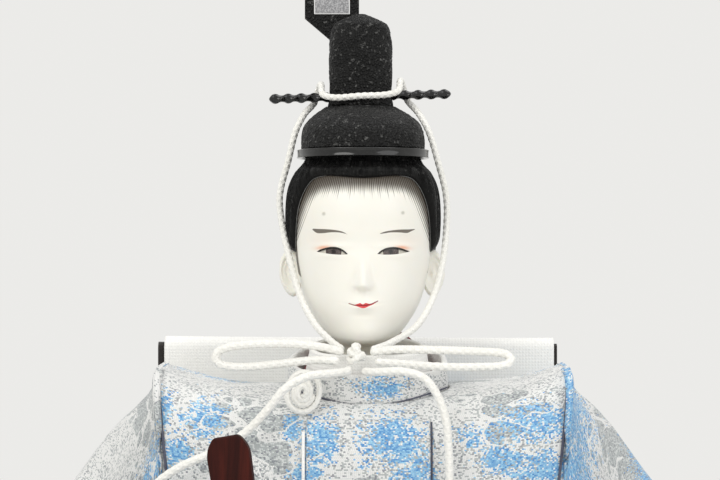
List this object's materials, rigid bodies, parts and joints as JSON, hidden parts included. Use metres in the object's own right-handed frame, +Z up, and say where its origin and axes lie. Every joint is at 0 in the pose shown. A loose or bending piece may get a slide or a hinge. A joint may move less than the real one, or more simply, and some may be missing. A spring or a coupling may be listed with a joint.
{
  "type": "seated court doll",
  "caption": "Seated court doll in a brocade robe with wide sleeves, tall black crown with an upright gauze tail, white cords tied under the chin and an upright wooden baton.",
  "frame": {"origin": "under the neck axis, on the flat underside of the base board", "axes": "+Z up along the neck axis, -Y towards the front of the doll, +X towards the doll's left hand"},
  "size_m": [0.3174, 0.2109, 0.3225],
  "materials": {
    "plain_wood": "unfinished pale wood",
    "straw": "bound rice straw, rough",
    "brocade": "lustrous woven brocade",
    "white_silk": "plain white silk",
    "red_silk": "plain dark red silk",
    "white_brocade": "white patterned silk",
    "dark_silk": "plain near-black silk",
    "cord_silk": "braided white silk cord",
    "belt_leather": "black lacquered leather",
    "sash_silk": "purple flat-woven silk",
    "wrapped_wire": "cotton wadding over wire",
    "face_white": "shell-white gesso, satin",
    "shaku_wood": "stained and polished",
    "black_lacquer": "black lacquer, glossy",
    "gilt_metal": "gilt, bright",
    "steel": "polished",
    "rayskin": "white pebbled skin",
    "eye_glass": "dark glass, polished",
    "hair_silk": "dyed silk floss, combed",
    "crown_lacquer": "black lacquer, glossy",
    "crown_gauze": "stiffened black crepe",
    "grey_gauze": "fine grey silk gauze"
  },
  "bodies": {
    "trunk": {"base_board": "plain_wood", "straw_core": "straw", "leg_block": "straw", "robe_front": "brocade", "robe_back": "brocade", "front_overlap": "brocade", "collar_band": "brocade", "robe_skirt": "brocade", "robe_hem_band": "brocade", "sleeve_right": "brocade", "sleeve_left": "brocade", "front_piping": "white_silk", "collar_white": "white_silk", "under_sleeve_white_right": "white_silk", "under_sleeve_white_left": "white_silk", "train_cloth": "white_silk", "collar_red": "red_silk", "under_sleeve_red_right": "red_silk", "under_sleeve_red_left": "red_silk", "hakama_lining_right": "red_silk", "hakama_lining_left": "red_silk", "hakama_right": "white_brocade", "hakama_left": "white_brocade", "train_lining": "dark_silk", "tombo_button": "cord_silk", "tombo_loop": "cord_silk", "belt": "belt_leather", "hirao_sash": "sash_silk", "arm_right": "wrapped_wire", "arm_left": "wrapped_wire", "hand_right": "face_white", "hand_left": "face_white", "scabbard": "black_lacquer", "scabbard_cap": "gilt_metal", "scabbard_hanger_front": "gilt_metal", "scabbard_hanger_rear": "gilt_metal"},
    "neck": {"neck_peg": "plain_wood", "cord_tail_right": "cord_silk", "cord_tail_left": "cord_silk"},
    "head": {"head": "face_white", "eye_right": "eye_glass", "eye_left": "eye_glass", "hair": "hair_silk", "crown_rim": "crown_lacquer", "crown_cap": "crown_gauze", "koji": "crown_gauze", "kanzashi": "crown_lacquer", "ei_socket": "crown_lacquer", "crown_cord": "cord_silk", "bow_loop_right": "cord_silk", "bow_loop_left": "cord_silk", "chin_knot": "cord_silk"},
    "ei": {"ei_frame": "crown_lacquer", "ei_gauze": "grey_gauze"},
    "shaku": {"shaku": "shaku_wood"},
    "sword": {"sword_guard": "gilt_metal", "sword_blade": "steel", "sword_hilt": "rayskin", "sword_pommel": "gilt_metal"}
  },
  "joints": [
    {"name": "head_lift", "type": "slide", "parent": "trunk", "child": "neck", "axis": [0, 0, 1], "range_m": [0, 0.068]},
    {"name": "head_turn", "type": "hinge", "parent": "neck", "child": "head", "pos_m": [0, 0, 0.1363], "axis": [0, 0, 1], "range_deg": [-10, 10]},
    {"name": "ei_lift", "type": "slide", "parent": "head", "child": "ei", "axis": [0, 0, 1], "range_m": [0, 0.016]},
    {"name": "shaku_slide", "type": "slide", "parent": "trunk", "child": "shaku", "axis": [-0.156, 0.13, 0.9792], "range_m": [0, 0.075]},
    {"name": "sword_draw", "type": "slide", "parent": "trunk", "child": "sword", "axis": [-0.0702, -0.922, 0.3808], "range_m": [0, 0.127]}
  ]
}
